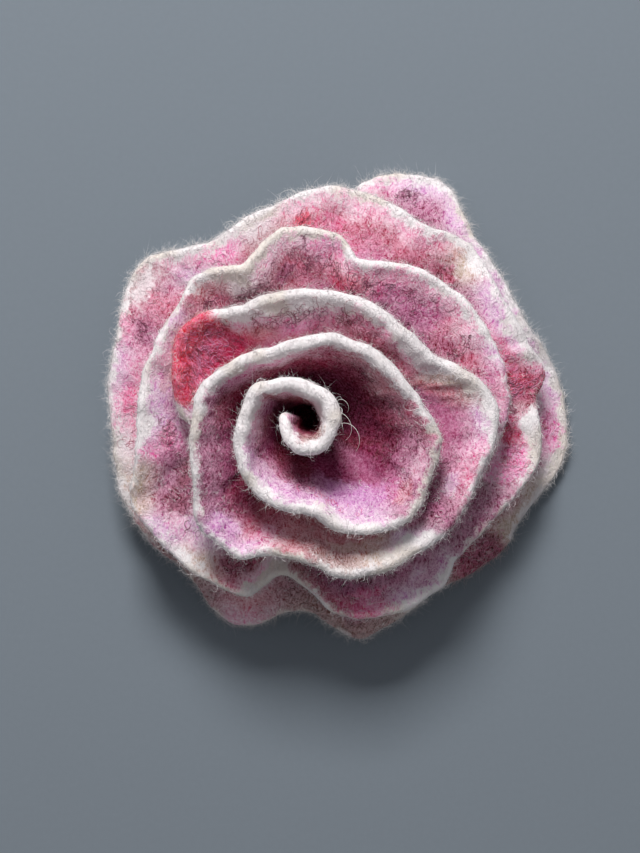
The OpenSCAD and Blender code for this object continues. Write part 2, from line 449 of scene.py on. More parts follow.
# Patches of curly locks that show as drawn lines: turn, distance from the rim, half the patch's
# length and half its width, its wool, how many locks it has, and the radius of their curls
HEART_LOCKS = [
    (640, 3.6, 9, 0.9, "candy", 26, 0.5),
    (666, 8.6, 2.5, 1.0, "cream", 8, 0.5),
    (686, 2.6, 3.4, 1.6, "rose", 14, 0.7),
    (1052, 4.2, 3.6, 1.8, "cream", 20, 0.6),
    (1060, 5.8, 3.2, 1.6, "plum", 14, 0.8),
    (1125, 4.5, 8, 2.2, "wine", 12, 1.1),
    (1150, 4.0, 8, 2.6, "wine", 34, 1.1),
    (1172, 3.6, 8, 3.0, "plum", 40, 1.1),
    (1190, 4.2, 7, 3.0, "wine", 30, 1.1),
    (1232, 1.6, 11, 2.0, "red", 90, 0.7),
    (1234, 2.6, 9, 2.4, "wine", 40, 0.7),
    (1228, 5.6, 9, 5.0, "sugar", 120, 0.9),
    (1226, 4.6, 9, 5.0, "wine", 60, 0.9),
]
OUTER_LOCKS = [
    (1450, 2.5, 4, 2.0, "candy", 14, 0.6),
    (1466, 4.0, 4, 3.0, "maroon", 14, 0.9),
    (1486, 3.8, 6, 2.4, "plum", 22, 0.9),
    (1504, 3.6, 6, 2.6, "plum", 30, 1.2),
    (1516, 4.2, 5, 3.0, "maroon", 22, 1.1),
    (1530, 4.2, 6, 3.4, "plum", 40, 1.2),
    (1552, 5.4, 6, 2.4, "plum", 34, 1.1),
    (1568, 4.6, 5, 2.4, "plum", 18, 1.0),
    (1626, 5.2, 4.2, 2.4, "plum", 40, 0.7),
    (1626, 4.4, 4.0, 2.4, "blush", 34, 0.7),
    (1664, 5.0, 2, 2, "maroon", 4, 1.2),
    (1787, 3.4, 5.4, 3.6, "blush", 70, 0.6),
    (1788, 3.6, 5.0, 3.4, "candy", 50, 0.6),
    (1797, 5.0, 4.0, 2.4, "wine", 24, 0.6),
    (1809.5, 4.4, 3.0, 4.4, "sugar", 40, 0.9),
    (1809.5, 4.0, 2.8, 5.0, "maroon", 60, 0.8),
    (1809.5, 3.6, 2.8, 5.0, "crimson", 50, 0.7),
    (1820, 4.4, 3.6, 2.0, "blush", 26, 0.8),
    (1888, 5.6, 5.5, 2.2, "blush", 36, 0.6),
    (1891.5, 4.6, 2.2, 1.8, "wine", 34, 0.5),
    (1903, 4.4, 5, 2.4, "rose", 18, 1.1),
    (1922, 2.6, 5, 1.6, "orchid", 18, 0.8),
    (1942, 5.6, 4.4, 2.2, "blush", 22, 0.8),
    (1952, 3.0, 3.6, 1.8, "plum", 18, 0.7),
    (1976, 3.0, 3.4, 1.6, "blush", 20, 0.6),
    (1988, 2.4, 3.6, 1.6, "rose", 14, 0.8),
    (2123, 1.6, 5, 2.0, "pink", 16, 1.3),
    (2158, 3.4, 3.2, 1.8, "rose", 16, 0.6),
    (2226, 3.6, 3.0, 1.4, "night", 20, 0.6),
]

# Single hairs that stand clear of the felt: strip, turn, distance from the rim, length and the
# way the hair leans, along the rim and away from it
HAIRS = [
    ("outer", 2063, -1.2, 9.0, 0.9, 0.5),
    ("outer", 2132, -1.0, 5.0, 0.2, 0.9),
    ("outer", 1893, -0.8, 6.0, -0.6, 1.0),
    ("outer", 1900, -0.8, 5.0, 0.3, 1.0),
    ("outer", 1911, -0.8, 4.5, -0.8, 0.7),
    ("outer", 1990, -0.8, 4.0, 0.5, 0.8),
    ("heart", 352, -1.3, 8.5, 0.5, 1.0),
    ("heart", 372, -1.5, 7.0, -0.5, 1.0),
    ("heart", 388, -1.1, 5.5, 0.8, 0.8),
    ("heart", 452, -0.6, 5.0, 0.6, 0.9),
]


def shade(red, green, blue):
    """A screen colour from 0 to 255 as linear values: the power curve of sRGB undone."""
    values = np.array([red, green, blue]) / 255
    low = values / 12.92
    high = ((values + 0.055) / 1.055) ** 2.4
    return tuple(float(x) for x in np.where(values <= 0.04045, low, high))


def wool(name, description, *screen):
    """A colour that the user may change."""
    return bpy.props.FloatVectorProperty(
        name=name,
        description=description,
        subtype="COLOR",
        size=3,
        min=0,
        max=1,
        default=shade(*screen),
    )


def length(name, description, millimetres, most):
    """A length that the user may change, in metres."""
    return bpy.props.FloatProperty(
        name=name,
        description=description,
        subtype="DISTANCE",
        unit="LENGTH",
        min=0,
        max=most * MM,
        default=millimetres * MM,
        precision=5,
    )


def amount(name, description, default, most=1.0):
    """A plain number that the user may change."""
    return bpy.props.FloatProperty(
        name=name, description=description, min=0, max=most, default=default
    )


class BroochWool(bpy.types.PropertyGroup):
    """The wool that the felt is made of."""

    cream: wool("Cream", "Natural wool of the rims and the backs", 241, 236, 238)
    beige: wool("Beige", "Natural wool with a little brown", 208, 192, 176)
    umber: wool("Umber", "Greyish brown", 152, 110, 100)
    blush: wool("Blush", "Palest pink", 240, 196, 215)
    haze: wool("Haze", "Palest lilac", 224, 189, 219)
    pink: wool("Pink", "Pink", 226, 140, 176)
    sugar: wool("Sugar", "Light bright pink", 244, 160, 206)
    candy: wool("Candy", "Bright pink", 223, 76, 138)
    orchid: wool("Orchid", "Pink with violet in it", 198, 94, 150)
    lilac: wool("Lilac", "Lilac", 200, 136, 192)
    salmon: wool("Salmon", "Pink with orange in it", 206, 126, 136)
    rose: wool("Rose", "Dusty rose", 186, 72, 104)
    brick: wool("Brick", "Brownish rose", 167, 77, 86)
    mauve: wool("Mauve", "Greyish violet pink", 173, 87, 129)
    plum: wool("Plum", "Dark reddish violet", 122, 25, 70)
    crimson: wool("Crimson", "Red with pink in it", 216, 36, 90)
    wine: wool("Wine", "Dark red", 138, 8, 42)
    maroon: wool("Maroon", "Very dark red", 94, 4, 26)
    red: wool("Red", "Bright red", 224, 5, 38)
    # Night is also the colour that the felt darkens towards far below the rim, as painted shade
    night: wool("Night", "Nearly black red of the heart", 74, 0, 20)


class BroochFelt(bpy.types.PropertyGroup):
    """Sizes of the felt and its fibres."""

    thickness: length("Thickness", "Thickness of the felt", 2.4, 4)
    lumps: length("Lumps", "Height of the lumps of the felt", 0.26, 1)
    waves: length("Waves", "How far the loose edge strays", 0.52, 2)
    fuzz: length("Fuzz", "Usual length of the fibres that stand off the felt", 1.5, 4)
    fibre: length("Fibre", "Thickness of a fibre", 0.066, 0.2)
    stray: length("Stray", "Thickness of a longer curly fibre", 0.085, 0.3)
    lock: length("Lock", "Thickness of a curly lock", 0.1, 0.3)


class BroochBack(bpy.types.PropertyGroup):
    """The brooch back and its stitches."""

    steel: wool("Steel", "Nickel-plated steel", 190, 188, 184)
    thread: wool("Thread", "Sewing thread", 226, 218, 208)
    thread_thickness: length("Thread thickness", "Thickness of the sewing thread", 0.42, 1)


class BroochStage(bpy.types.PropertyGroup):
    """Floor, light and camera."""

    floor: wool("Floor", "Colour of the floor", 121, 130, 139)
    window: amount("Window", "Power of the large light in watts", 9.15, 100)
    fill: amount("Fill", "Strength of the light from all around", 0.25, 5)


def settings():
    """The four groups of settings, as they are now."""
    scene = bpy.context.scene
    return scene.brooch_wool, scene.brooch_felt, scene.brooch_back, scene.brooch_stage


def smooth(low, high, value):
    """0 below low, 1 above high, and the step 3x^2 - 2x^3 between them."""
    x = np.clip((value - low) / (high - low), 0, 1)
    return x * x * (3 - 2 * x)


def toward(first, second, share):
    """A value between two others: the first where share is 0, the second where it is 1."""
    return first + (second - first) * share


def noise(x, y, seed):
    """Value noise from -1 to 1: random heights on a unit lattice, blended by the smooth step."""
    heights = np.random.default_rng(seed).uniform(-1, 1, (256, 256))
    left = np.floor(x).astype(int)
    below = np.floor(y).astype(int)
    a = smooth(0, 1, x - left)
    b = smooth(0, 1, y - below)

    def level(row):
        return heights[left % 256, row % 256] * (1 - a) + heights[(left + 1) % 256, row % 256] * a

    return level(below) * (1 - b) + level(below + 1) * b


def curve(rows, column, at):
    """A table's column as a cubic through its rows, with slopes that are the weighted harmonic
    mean of the chords beside them, and level at each crest and dip."""
    x = rows[:, 0]
    y = rows[:, column]
    step = np.diff(x)
    chord = np.diff(y) / step
    before = chord[:-1]
    after = chord[1:]
    p = step[:-1]
    q = step[1:]
    same_way = before * after > 0
    mean = 3 * (p + q) / (
        (2 * q + p) / np.where(same_way, before, 1) + (q + 2 * p) / np.where(same_way, after, 1)
    )
    slope = np.concatenate([chord[:1], np.where(same_way, mean, 0), chord[-1:]])
    i = np.clip(np.searchsorted(x, at, side="right") - 1, 0, len(x) - 2)
    s = (at - x[i]) / step[i]
    rise = slope[i] * s * (1 - s) ** 2 - slope[i + 1] * s * s * (1 - s)
    return y[i] * (1 + 2 * s) * (1 - s) ** 2 + y[i + 1] * s * s * (3 - 2 * s) + rise * step[i]


def wall(rows, turn, share):
    """The middle of the felt: for each turn a cubic from the wound root, where it starts upright,
    through a crown that leans outwards, to the rim's reach and rise."""
    bends = np.array(BENDS)
    t = turn[:, None]
    v = share[None, :]
    reach = curve(rows, 1, turn)[:, None]
    rise = curve(rows, 2, turn)[:, None]
    stand, crown, lean = (curve(bends, k, turn)[:, None] for k in (1, 2, 3))
    root = ROOT_R + ROOT_PITCH * (t - FIRST_TURN) / 360
    bend = 3 * v * v * (1 - v)
    r = root * (1 - v) ** 2 * (1 + 2 * v) + (root + lean * (reach - root)) * bend + reach * v**3
    z = ROOT_Z * (1 - v) ** 3 + (ROOT_Z + stand) * 3 * v * (1 - v) ** 2
    z = z + crown * bend + rise * v**3
    angle = np.radians(t)
    return np.stack([r * np.cos(angle), r * np.sin(angle), z], -1) + AXIS


def unit(vectors):
    """Each vector divided by its length."""
    return vectors / np.linalg.norm(vectors, axis=-1, keepdims=True)


def run_length(places):
    """Distance along each row of points from the row's first point."""
    step = np.linalg.norm(np.diff(places, axis=1), axis=-1)
    return np.concatenate([np.zeros((len(places), 1)), np.cumsum(step, 1)], 1)


def loosened(middle, outward, upward, x, below, loose, felt):
    """The middle of the wall, its loose part moved by value noise across the felt and upwards."""
    pleats = noise(x / 1.5, below / 2.4, 9)
    stray = 0.6 * noise(x / 6.5, below / 7, 5) + 0.4 * noise(x / 3.1, below / 3.6, 6) + 0.3 * pleats
    rise = 0.5 * noise(x / 5.2, 0 * x, 7) + 0.5 * noise(x / 2.0, 0 * x, 8)
    stray = stray * loose * felt.waves / MM
    rise = rise * loose * loose * 0.7 * felt.waves / MM
    return middle + outward * stray[..., None] + upward * rise[..., None]


def half_thickness(turn, along, x, below, loose, felt):
    """Half the felt's thickness: uneven by value noise, more round the innermost coil, less at
    the outer strip's edge and at the scrap's tip, and rounded off at both ends of the strip."""
    half = felt.thickness / MM / 2 * (1 + (0.03 + 0.12 * loose) * noise(x / 4.4, below / 5, 3))
    coil = 0.6 * np.exp(-(((turn - COIL_SWELLS_AT) / 48) ** 2))[:, None]
    tip = 0.66 * np.exp(-(((turn - TIP_AT) / 6) ** 2))[:, None]
    thin = 0.22 * smooth(OUTER_FROM - 40, OUTER_FROM, turn)[:, None]
    half = half * (1 + coil * loose) * (1 - tip * loose) * (1 - thin * loose * loose)
    from_end = np.minimum(along, along[-1] - along)
    return half * np.sqrt(np.clip(1 - (1 - np.minimum(from_end / 1.4, 1)) ** 2, 0.08, 1))[:, None]


def felt_shell(rim, sections, points_up, felt):
    """A strip as a shell. Its section goes up the outer face, round the rim on a half
    circle and down the inner face, half the felt's thickness from the wall's middle, and value
    noise makes lumps on its faces. down is the distance from the rim's crown along the section,
    below nought on the outer face, and x is the distance along the rim."""
    rows = np.array(rim, float)
    fine = np.linspace(rows[0, 0], rows[-1, 0], 8000)
    path = wall(rows, fine, np.array([0.5, 1.0]))[:, 1]
    travel = run_length(path[None])[0]
    along = np.linspace(0, travel[-1], sections)
    turn = np.interp(along, travel, fine)
    share = 1 - (1 - np.linspace(0, 1, points_up)) ** 1.25
    middle = wall(rows, turn, share)
    outward = unit(np.cross(np.gradient(middle, axis=0), np.gradient(middle, axis=1)))
    outward[:, 0, 2] = 0
    outward = unit(outward)
    upward = unit(np.gradient(middle, axis=1))
    height = run_length(middle)
    below = height[:, -1:] - height
    loose = smooth(0.25, 1.0, share)[None, :]
    x = along[:, None] + 0 * below
    middle = loosened(middle, outward, upward, x, below, loose, felt)
    half = half_thickness(turn, along, x, below, loose, felt)
    arc = np.radians(np.arange(18, 180, 18))[None, :, None]
    rim_out = outward[:, -1:] * np.cos(arc) + upward[:, -1:] * np.sin(arc)
    face = np.concatenate([outward, rim_out, -outward[:, ::-1]], 1)

    def up_and_down(values):
        """Values up the outer face, the last of them round the rim, and down the inner face."""
        return np.concatenate([values, np.repeat(values[:, -1:], arc.size, 1), values[:, ::-1]], 1)

    free = up_and_down(loose)
    place = up_and_down(middle) + face * up_and_down(half)[..., None]
    down = run_length(place)
    crown = points_up + arc.size // 2
    down = down - down[:, crown : crown + 1]
    x = along[:, None] + 0 * down
    off_rim = 0.3 + 0.7 * smooth(1.5, 4.5, np.abs(down))
    rough = 0.5 * noise(x / 3.4, down / 3.0, 11) + off_rim * (
        0.32 * noise(x / 1.6, down / 1.5, 12) + 0.18 * noise(x / 0.85, down / 0.8, 13)
    )
    place = place + face * (rough * (0.35 + 0.65 * free) * felt.lumps / MM)[..., None]
    return SimpleNamespace(turn=turn, along=along, place=place, face=face, down=down, x=x)


def turn_to_along(shell, turn):
    """Distance along the rim at a turn."""
    return np.interp(turn, shell.turn, shell.along)


def lay_colours(shell, dye_and_shading_rows, tufts, colours, calm):
    """Wool of each point of a shell: the dyed wool, the wool of a tuft with how thickly it lies,
    how far inside the tuft's ellipse the point is, its distance from the cream rim in
    millimetres, below nought on it, and how mottled it is, which calm takes away lower down.
    Depths in the tables start at the inner edge of the rounded rim. Between the rows of the dye
    table, and from the rim down, the wools blend by the smooth step, along lines that value
    noise makes stray. Far below the rim the colour is darkened towards the night wool, as
    painted shade of the deep folds."""
    turns = np.array([row[0] for row in dye_and_shading_rows], float)
    x = shell.x
    down = shell.down - ROUND_OF_RIM
    sideways = 1.6 * noise(x / 4.5, down / 4.5, 27) + 0.7 * noise(x / 1.7, down / 1.6, 28)
    turn = np.interp(x + sideways, shell.along, shell.turn)
    i = np.clip(np.searchsorted(turns, turn, side="right") - 1, 0, len(turns) - 2)
    part = smooth(0, 1, (turn - turns[i]) / (turns[i + 1] - turns[i]))[..., None]

    def between(values):
        return values[i] * (1 - part) + values[i + 1] * part

    cream_edge = between(np.array([[row[1]] for row in dye_and_shading_rows]))[..., 0]
    near, middle, deep = (
        between(np.array([colours[row[k]] for row in dye_and_shading_rows])) for k in (2, 3, 4)
    )
    drift = 1.2 * noise(x / 5.5, down / 5, 21) + 0.7 * noise(x / 1.9, down / 1.8, 22)
    depth = down + drift + 0.35 * noise(x / 0.9, down / 0.9, 23)
    # The wools darken from near to middle to deep down the face: partly the felt's dye and partly
    # painted shade of the folds
    colour = toward(near, middle, smooth(cream_edge + 0.8, 5.6, depth)[..., None])
    colour = toward(colour, deep, smooth(5.6, 10.5, depth)[..., None])
    # Painted shade: from 12 to 20 mm below the rim the colour is pulled towards the night wool
    colour = colour + (colours["night"] - colour) * 0.6 * smooth(12, 20, down)[..., None]
    blotch = smooth(0.0, 0.9, noise(x / 6, down / 5, 26))
    back = smooth(-1.3, -2.5, down)[..., None]
    back_colour = toward(colours["cream"], colours["blush"], blotch[..., None])
    dyed_back = smooth(-6.0, -4.0, down) * (cream_edge < -2)
    colour = colour + (back_colour - colour) * back * (1 - dyed_back[..., None])
    cream = down - cream_edge
    tuft = np.concatenate([colour, np.zeros((*colour.shape[:2], 1))], 2)
    inside = np.full(down.shape, -1.0)
    for turn_at, distance, half_length, half_width, name, thick in tufts:
        middle_x = turn_to_along(shell, turn_at)
        value = 1 - np.hypot((x - middle_x) / half_length, (down - distance) / half_width)
        mine = value > inside
        tuft[mine] = np.r_[colours[name], thick]
        inside[mine] = value[mine]
    mottle = 1 - calm * smooth(3, 9, down)
    return np.clip(colour, 0, 1), tuft, inside, cream, mottle


def outer_colour(laid, colours):
    """The wool that lies on top at each point: the dye, the tuft on it and the cream over both."""
    colour, tuft, inside, cream, _ = laid
    cover = smooth(-0.1, 0.4, inside)[..., None] * tuft[..., 3:]
    colour = toward(colour, tuft[..., :3], cover)
    return toward(colour, colours["cream"], smooth(1.7, -0.5, cream)[..., None])


def put_mesh(name, points, quads, material, triangles=()):
    """A mesh object from arrays of points in millimetres and of corners, shaded smooth."""
    faces = [(quads, 4)] if len(triangles) == 0 else [(quads, 4), (triangles, 3)]
    corners = np.concatenate([np.asarray(some, np.int32).ravel() for some, _ in faces])
    sizes = np.concatenate([np.full(len(some), count, np.int32) for some, count in faces])
    mesh = bpy.data.meshes.new(name)
    mesh.vertices.add(len(points))
    mesh.vertices.foreach_set("co", (points * MM).astype(np.float32).ravel())
    mesh.loops.add(len(corners))
    mesh.loops.foreach_set("vertex_index", corners)
    mesh.polygons.add(len(sizes))
    mesh.polygons.foreach_set("loop_start", np.r_[0, np.cumsum(sizes)[:-1]].astype(np.int32))
    mesh.polygons.foreach_set("use_smooth", np.ones(len(sizes), bool))
    mesh.update(calc_edges=True)
    mesh.validate()
    mesh.materials.append(material)
    made = bpy.data.objects.new(name, mesh)
    bpy.context.scene.collection.objects.link(made)
    return made


def write_colour(made, name, values):
    """A colour attribute at each point, opaque where no fourth value is given."""
    attribute = made.data.attributes.new(name, "FLOAT_COLOR", "POINT")
    filled = np.concatenate([values, np.ones((len(values), 1))], 1)[:, :4]
    attribute.data.foreach_set("color", filled.astype(np.float32).ravel())


def write_value(made, name, values):
    """A number at each point."""
    attribute = made.data.attributes.new(name, "FLOAT", "POINT")
    attribute.data.foreach_set("value", values.astype(np.float32).ravel())


def write_map(made, places):
    """The piece's own UV map, with a place for each corner of each face."""
    layer = made.data.uv_layers.new(name="OFBake")
    layer.data.foreach_set("uv", places.astype(np.float32).ravel())


def boxes(left, right, low, top):
    """Corners of the boxes of a UV map, counterclockwise from the lower left one."""
    left, right, low, top = np.broadcast_arrays(left, right, low, top)
    corners = ((left, low), (right, low), (right, top), (left, top))
    return np.stack([np.stack(corner, -1) for corner in corners], -2)


def shell_map(rows, columns, ends):
    """UV places of a shell's corners: the strip cut into bands that lie above one another, each
    with a cell for every quad, and under them a row of small cells for the rungs of its ends."""
    bands = 5
    section = np.arange(rows - 1)
    band = section * bands // (rows - 1)
    first_of_band = np.searchsorted(band, np.arange(bands))
    widest = np.diff(np.r_[first_of_band, rows - 1]).max()
    spot = section - first_of_band[band]
    u = 0.004 + 0.992 * np.stack([spot, spot + 1], 1) / widest
    v = np.linspace(0.02, 0.96, columns + 1)
    low, top = ((edge[None, :] + band[:, None]) / bands for edge in (v[:-1], v[1:]))
    rung = np.arange(ends) / ends
    walls = boxes(u[:, :1], u[:, 1:], low, top)
    rungs = boxes(rung, rung + 0.9 / ends, 0.0, 0.0018)
    return np.concatenate([walls.reshape(-1, 2), rungs.reshape(-1, 2)])


def shell_object(name, shell, laid, material):
    """The shell as a mesh of quads. Rungs from face to face close its two ends, but for one small
    triangle in each, at the crown of the rim, which stays open."""
    colour, tuft, inside, cream, mottle = laid
    rows, columns = shell.down.shape
    number = np.arange(rows * columns).reshape(rows, columns)
    after = np.roll(number, -1, 1)
    walls = np.stack([number[:-1], number[1:], after[1:], after[:-1]], -1).reshape(-1, 4)
    k = np.arange(columns // 2 - 1)
    first = np.stack([k, k + 1, columns - 2 - k, columns - 1 - k], 1)
    last = first[:, ::-1] + (rows - 1) * columns
    quads = np.concatenate([walls, first, last])
    made = put_mesh(name, shell.place.reshape(-1, 3), quads, material)
    write_colour(made, "dye", colour.reshape(-1, 3))
    write_colour(made, "tuft", tuft.reshape(-1, 4))
    for label, values in (("inside_tuft", inside), ("from_cream", cream), ("mottle", mottle)):
        write_value(made, label, values)
    write_map(made, shell_map(rows, columns, 2 * len(first)))
    return made


def on_felt(shell, turn, down):
    """Point and outward normal of a shell at a turn and a distance from the rim's crown, blended
    along the section and between the two sections beside it."""
    row = np.interp(turn, shell.turn, np.arange(len(shell.turn)))
    i = np.clip(row.astype(int), 0, len(shell.turn) - 2)
    f = (row - i)[:, None]
    found = []
    for k in (i, i + 1):
        j = np.clip((shell.down[k] <= down[:, None]).sum(1) - 1, 0, shell.down.shape[1] - 2)
        low = shell.down[k, j]
        g = np.clip((down - low) / (shell.down[k, j + 1] - low), 0, 1)[:, None]
        place = shell.place[k, j] * (1 - g) + shell.place[k, j + 1] * g
        face = shell.face[k, j] * (1 - g) + shell.face[k, j + 1] * g
        found.append((place, face))
    place = found[0][0] * (1 - f) + found[1][0] * f
    return place, unit(found[0][1] * (1 - f) + found[1][1] * f)


def fibre_map(count, rings, sides):
    """UV places of the corners of fibres, in the order of their quads, fans and caps: a square
    cell for each fibre, with its sides in the middle, the fan above and the cap below them."""
    cells = int(np.ceil(np.sqrt(count)))
    cell = np.stack([np.arange(count) % cells, np.arange(count) // cells], 1) / cells
    u = np.linspace(0.06, 0.94, sides + 1) / cells
    v = np.linspace(0.12, 0.82, rings) / cells
    x, y = np.moveaxis(cell[:, None, None], -1, 0)
    box = boxes(x + u[:-1], x + u[1:], y + v[:-1, None], y + v[1:, None])
    fan = np.zeros((sides, 3, 2))
    fan[:, 0] = np.stack([u[:-1], np.full(sides, v[-1])], 1)
    fan[:, 1] = np.stack([u[1:], np.full(sides, v[-1])], 1)
    fan[:, 2] = np.stack([(u[1:] + u[:-1]) / 2, np.full(sides, 0.96 / cells)], 1)
    cap = np.tile(np.array([[0.1, 0.0], [0.5, 0.0], [0.3, 0.09]]) / cells, (sides - 2, 1, 1))
    ends = cell[:, None, None] + np.concatenate([fan, cap])
    return np.concatenate([box.reshape(-1, 2), ends.reshape(-1, 2)])


def fibres_object(name, lines, radius, side, colour, material, sides=3):
    """Fibres as closed tubes that end in a point: round each point of each line but the last a
    ring of a few corners, square to the line, with a cap at the first and a fan at the last.
    lines is fibres by points by 3, and radius, side and colour belong to each fibre."""
    count, points = lines.shape[:2]
    rings = points - 1
    forward = unit(np.gradient(lines, axis=1))[:, :rings]
    across = unit(np.cross(forward, side[:, None, :]))
    other = np.cross(forward, across)
    angle = np.arange(sides)[:, None] * 2 * np.pi / sides
    spokes = across[:, :, None] * np.cos(angle) + other[:, :, None] * np.sin(angle)
    taper = 1 - 0.6 * np.linspace(0, 1, rings) ** 2
    ring = lines[:, :rings, None] + spokes * (radius[:, None] * taper)[:, :, None, None]
    places = np.concatenate([ring.reshape(count, rings * sides, 3), lines[:, -1:]], 1)
    first = np.arange(count)[:, None, None] * (rings * sides + 1)
    number = first + np.arange(rings * sides).reshape(rings, sides)
    after = np.roll(number, -1, 2)
    quads = np.stack([number[:, :-1], after[:, :-1], after[:, 1:], number[:, 1:]], -1)
    tip = np.repeat(first[:, 0] + rings * sides, sides, 1)
    fans = np.stack([number[:, -1], after[:, -1], tip], -1)
    caps = np.stack([number[:, 0][:, [0, k + 1, k]] for k in range(1, sides - 1)], 1)
    triangles = np.concatenate([fans, caps], 1).reshape(-1, 3)
    made = put_mesh(name, places.reshape(-1, 3), quads.reshape(-1, 4), material, triangles)
    write_colour(made, "dye", np.repeat(colour, rings * sides + 1, 0))
    write_map(made, fibre_map(count, rings, sides))
    return made


def picked_points(shell, colour, rim, inner, inner_end, outer, count, rng):
    """Points of a shell picked at random by their area and a weight, which is rim near the rim,
    inner down to inner_end on the inner face, and outer on the outer one: their numbers, places,
    normals and colours."""
    down = shell.down
    weight = rim + inner * smooth(0.5, 2.5, down) * smooth(13, inner_end, down)
    weight = weight + outer * smooth(-0.5, -2.5, down) * smooth(-14, -7, down)
    spacing = np.gradient(shell.along)[:, None] * np.gradient(down, axis=1)
    weight = (weight * spacing).ravel()
    picked = np.sort(rng.choice(weight.size, count, p=weight / weight.sum()))
    return picked, *(values.reshape(-1, 3)[picked] for values in (shell.place, shell.face, colour))


def fuzz_lines(shell, colour, count, seed, felt):
    """Short fibres that stand off the felt: each leaves its point in a direction between the
    normal and the surface, and bends sideways with the square and the cube of its length."""
    rng = np.random.default_rng(seed)
    rim = np.exp(-((shell.down / 1.6) ** 2))
    outside = 1 + 1.6 * smooth(*OUTLINE_TURNS, shell.turn)[:, None]
    outside = outside * (1 - 0.7 * smooth(*reversed(CURL_TURNS), shell.turn)[:, None])
    picked, place, normal, root_colour = picked_points(
        shell, colour, rim * outside, 0.12, 6, 0.06, count, rng
    )
    near_rim = rim.ravel()[picked]
    spin = unit(rng.normal(size=(count, 3)))
    sideways = unit(np.cross(normal, spin))
    other = np.cross(normal, sideways)
    tilt = np.radians(rng.uniform(15, 88, count) + (1 - near_rim) * 30)
    tilt = np.minimum(tilt, np.radians(87))[:, None]
    heading = normal * np.cos(tilt) + sideways * np.sin(tilt)
    size = felt.fuzz / MM * rng.gamma(3, 0.21, count) * (0.7 + 0.4 * near_rim)
    size = np.minimum(size, 2.2)[:, None]
    bend = other * rng.normal(0, 1.0, (count, 1)) + normal * rng.normal(-0.15, 0.35, (count, 1))
    twist = sideways * rng.normal(0, 0.45, (count, 1)) + normal * rng.normal(0, 0.2, (count, 1))
    k = np.linspace(0, 1, 3)[None, :, None]
    start = place - normal * 0.06 + rng.normal(0, 0.16, (count, 3))
    curl = bend[:, None] * k**2 + twist[:, None] * k**3
    lines = start[:, None] + size[:, None] * (heading[:, None] * k + curl)
    lines[..., 2] = np.maximum(lines[..., 2], ABOVE_FLOOR)
    radius = felt.fibre / MM / 2 * rng.uniform(0.6, 1.15, count)
    pale = (0.04 + 0.75 * near_rim)[:, None] * rng.uniform(0.3, 1.2, (count, 1))
    return lines, radius, other, toward(root_colour, FUZZ_ENDS, np.minimum(pale, 0.9))


def stray_lines(shell, colour, count, seed, felt):
    """Longer curly fibres: each leaves its point low over the felt and its heading turns steadily
    about the normal, with a swing, while it rises and sinks again."""
    rng = np.random.default_rng(seed)
    rim = np.exp(-(((shell.down - 0.4) / 2.0) ** 2))
    rim = rim * (1 + 0.9 * smooth(*OUTLINE_TURNS, shell.turn)[:, None])
    picked, place, normal, root_colour = picked_points(shell, colour, rim, 0.2, 7, 0.10, count, rng)
    sideways = unit(np.cross(normal, unit(rng.normal(size=(count, 3)))))
    other = np.cross(normal, sideways)
    t = np.linspace(0, 1, 7)[None, :]
    turned = rng.uniform(1.5, 5.5, (count, 1)) * rng.choice([-1, 1], (count, 1))
    swing = rng.uniform(0, 0.8, (count, 1))
    swing = swing * np.sin(2 * np.pi * (t + rng.uniform(0, 1, (count, 1))))
    angle = (turned * t + swing)[..., None]
    lift = (rng.uniform(0.1, 0.9, (count, 1)) * (1 - 1.3 * t))[..., None]
    level = sideways[:, None] * np.cos(angle) + other[:, None] * np.sin(angle)
    heading = level * np.cos(lift) + normal[:, None] * np.sin(lift)
    size = 0.6 + rng.gamma(4, 0.35, count)
    step = (np.minimum(size, 5.0) / 6)[:, None, None]
    run = (np.cumsum(heading, 1) - heading[:, :1]) * step
    lines = place[:, None] + normal[:, None] * 0.05 + run
    lines[..., 2] = np.maximum(lines[..., 2], ABOVE_FLOOR)
    radius = felt.stray / MM / 2 * rng.uniform(0.6, 1.15, count)
    pale = rng.uniform(0.3, 0.8, (count, 1))
    pale = pale * np.minimum(0.3 + 0.7 * rim.ravel()[picked], 1)[:, None]
    return lines, radius, normal, toward(root_colour, STRAY_ENDS, pale)


def wad_lines(colours, seed, felt):
    """Wool that closes the bottom of the heart: coiled locks across the hole of the root."""
    rng = np.random.default_rng(seed)
    count = WAD_LOCKS
    t = np.linspace(0, 1, 15)[None, :]
    across = rng.uniform(0.3, 2.9, (count, 1))
    angle = rng.uniform(0, 2 * np.pi, (count, 1)) + rng.uniform(2, 5, (count, 1)) * t
    drift = rng.normal(0, 0.9, (count, 2))
    x = across * np.cos(angle) + drift[:, :1]
    y = across * np.sin(angle) + drift[:, 1:]
    inwards = np.minimum(1, HOLE_R / np.hypot(x, y))
    z = WAD_Z + rng.uniform(0, 2.4, (count, 1)) + 0.4 * np.sin(5 * t + angle)
    lines = np.stack([x * inwards, y * inwards, z + 0 * t], -1) + AXIS
    radius = felt.lock / MM * rng.uniform(1.0, 1.8, count)
    wools = np.array([colours["maroon"], colours["wine"], colours["brick"]])
    side = np.tile([0.0, 0.0, 1.0], (count, 1))
    return lines, radius, side, wools[rng.integers(0, 3, count)]


